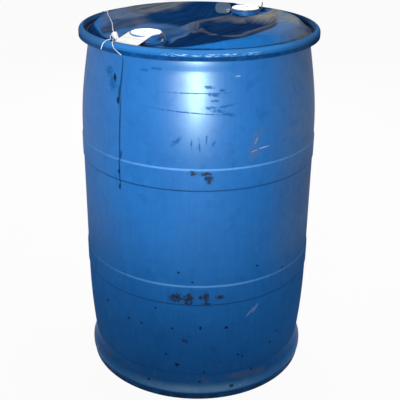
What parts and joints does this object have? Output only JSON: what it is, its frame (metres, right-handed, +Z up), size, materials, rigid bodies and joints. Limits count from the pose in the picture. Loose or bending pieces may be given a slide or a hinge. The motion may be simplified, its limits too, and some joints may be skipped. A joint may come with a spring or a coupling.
{
  "type": "plastic chemical drum",
  "caption": "Closed-head blow-moulded plastic drum with a welded lifting ring, a foot ring, screw plugs in the head, wire ties and a corded seal.",
  "frame": {"origin": "on the floor, in the middle of the foot ring", "axes": "+Z up along the drum's axis, -Y towards the front neck, +X to the right of it"},
  "size_m": [0.5868, 0.5868, 0.9187],
  "materials": {
    "shell": "semi-gloss blue polyethylene, dusty and scuffed",
    "top_ring": "semi-gloss blue polyethylene",
    "foot_ring": "semi-gloss blue polyethylene, dusty",
    "neck": "satin blue polyethylene",
    "plug": "satin white polyethylene",
    "gasket": "matte black rubber",
    "wire": "dark annealed wire",
    "paper_tag": "blank white coated paper",
    "rear_tag": "blank blue-grey sheet",
    "eyelet": "pale metal",
    "seal": "satin white plastic",
    "cord": "thin white twisted cord"
  },
  "bodies": {
    "drum": {"drum_shell": "shell", "top_ring": "top_ring", "foot_ring": "foot_ring", "front_neck": "neck", "rear_neck": "neck", "front_binding_wire": "wire", "rear_binding_wire": "wire", "front_paper_tag": "paper_tag", "rear_tag": "rear_tag", "rear_tag_eyelet": "eyelet", "front_seal_block": "seal", "seal_cord": "cord", "seal_cord_left_tail": "cord", "seal_cord_right_tail": "cord"},
    "front_gasket": {"front_plug_gasket": "gasket"},
    "front_screw_plug": {"front_plug": "plug"},
    "rear_gasket": {"rear_plug_gasket": "gasket"},
    "rear_screw_plug": {"rear_plug": "plug"}
  },
  "joints": [
    {"name": "front_gasket_lift", "type": "slide", "parent": "drum", "child": "front_gasket", "axis": [0, 0, 1], "range_m": [0, 0.014]},
    {"name": "front_plug_turn", "type": "hinge", "parent": "front_gasket", "child": "front_screw_plug", "pos_m": [0, -0.195, 0.9], "axis": [0, 0, 1], "range_deg": [0, 1260]},
    {"name": "rear_gasket_lift", "type": "slide", "parent": "drum", "child": "rear_gasket", "axis": [0, 0, 1], "range_m": [0, 0.014]},
    {"name": "rear_plug_turn", "type": "hinge", "parent": "rear_gasket", "child": "rear_screw_plug", "pos_m": [0, 0.195, 0.9], "axis": [0, 0, 1], "range_deg": [0, 1260]}
  ],
  "couplings": [
    {"joint": "front_gasket_lift", "follows": "front_plug_turn", "m_per_rad": 0.00063662},
    {"joint": "rear_gasket_lift", "follows": "rear_plug_turn", "m_per_rad": 0.00063662}
  ]
}
